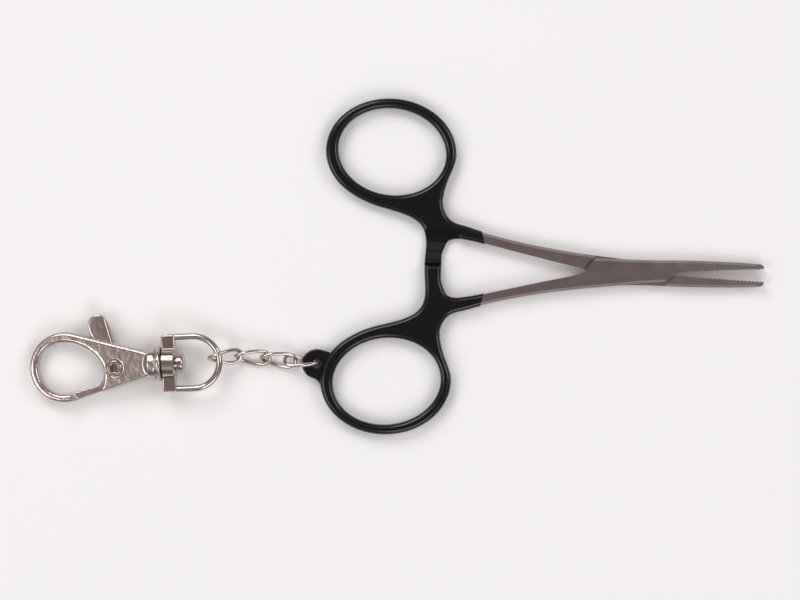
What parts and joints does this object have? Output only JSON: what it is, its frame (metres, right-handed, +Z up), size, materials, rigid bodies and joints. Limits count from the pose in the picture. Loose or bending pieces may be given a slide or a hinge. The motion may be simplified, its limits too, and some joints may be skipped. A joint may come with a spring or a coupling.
{
  "type": "locking hemostat forceps with chain and swivel clasp",
  "caption": "Slim straight locking forceps with a box-lock pivot, serrated jaws, ratchet, coated finger rings, and a short curb chain from a ring lug to a swivel bail and spring clasp.",
  "frame": {"origin": "on the box lock's pivot axis, in the plane on which the forceps lie", "axes": "+X from the pivot to the jaw tips, +Y to the upper finger ring, +Z up from the plane on which the part lies"},
  "size_m": [0.2124, 0.0976, 0.0102],
  "materials": {
    "steel": "satin polished stainless steel",
    "coat": "glossy black dipped coating",
    "plating": "bright nickel plating, slightly warm",
    "spring_wire": "drawn spring wire"
  },
  "bodies": {
    "lower_lever": {"female_lever": "steel", "lower_grip": "coat", "pivot_pin": "steel"},
    "upper_lever": {"male_lever": "steel", "upper_grip": "coat"},
    "link_4": {"chain_link_4": "plating"},
    "link_3": {"chain_link_3": "plating"},
    "link_2": {"chain_link_2": "plating"},
    "link_1": {"chain_link_1": "plating"},
    "bail": {"swivel_bail": "plating"},
    "clasp": {"clasp_body": "plating", "swivel_stud": "plating", "clasp_rivet": "plating", "trigger_spring": "spring_wire"},
    "trigger": {"clasp_trigger": "plating"}
  },
  "joints": [
    {"name": "box_lock", "type": "hinge", "parent": "lower_lever", "child": "upper_lever", "pos_m": [0, 0, 0], "axis": [0, 0, 1], "range_deg": [-55, 5.4]},
    {"name": "lug_link", "type": "hinge", "parent": "lower_lever", "child": "link_4", "pos_m": [-0.08807, -0.02878, 0], "axis": [0, 0, 1], "range_deg": [-25, 25]},
    {"name": "link_4_3", "type": "hinge", "parent": "link_4", "child": "link_3", "pos_m": [-0.09656, -0.02786, 0], "axis": [0, 0, 1], "range_deg": [-20, 20]},
    {"name": "link_3_2", "type": "hinge", "parent": "link_3", "child": "link_2", "pos_m": [-0.10294, -0.0273, 0], "axis": [0, 0, 1], "range_deg": [-20, 12]},
    {"name": "link_2_1", "type": "hinge", "parent": "link_2", "child": "link_1", "pos_m": [-0.11075, -0.02686, 0], "axis": [0, 0, 1], "range_deg": [-8, 25]},
    {"name": "link_bail", "type": "hinge", "parent": "link_1", "child": "bail", "pos_m": [-0.11833, -0.02812, 0], "axis": [0, 0, 1], "range_deg": [-20, 20]},
    {"name": "clasp_swivel", "type": "hinge", "parent": "bail", "child": "clasp", "pos_m": [-0.13502, -0.02987, 0.00499], "axis": [0.9946, 0.0643, 0.0819], "continuous": true},
    {"name": "trigger_hinge", "type": "hinge", "parent": "clasp", "child": "trigger", "pos_m": [-0.14622, -0.0313, 0.00406], "axis": [-0.0818, -0.0053, 0.9966], "range_deg": [-32, 0], "stiffness_Nm_per_rad": 0.02, "springref_deg": 28.65, "deforming": ["trigger_spring"]}
  ]
}
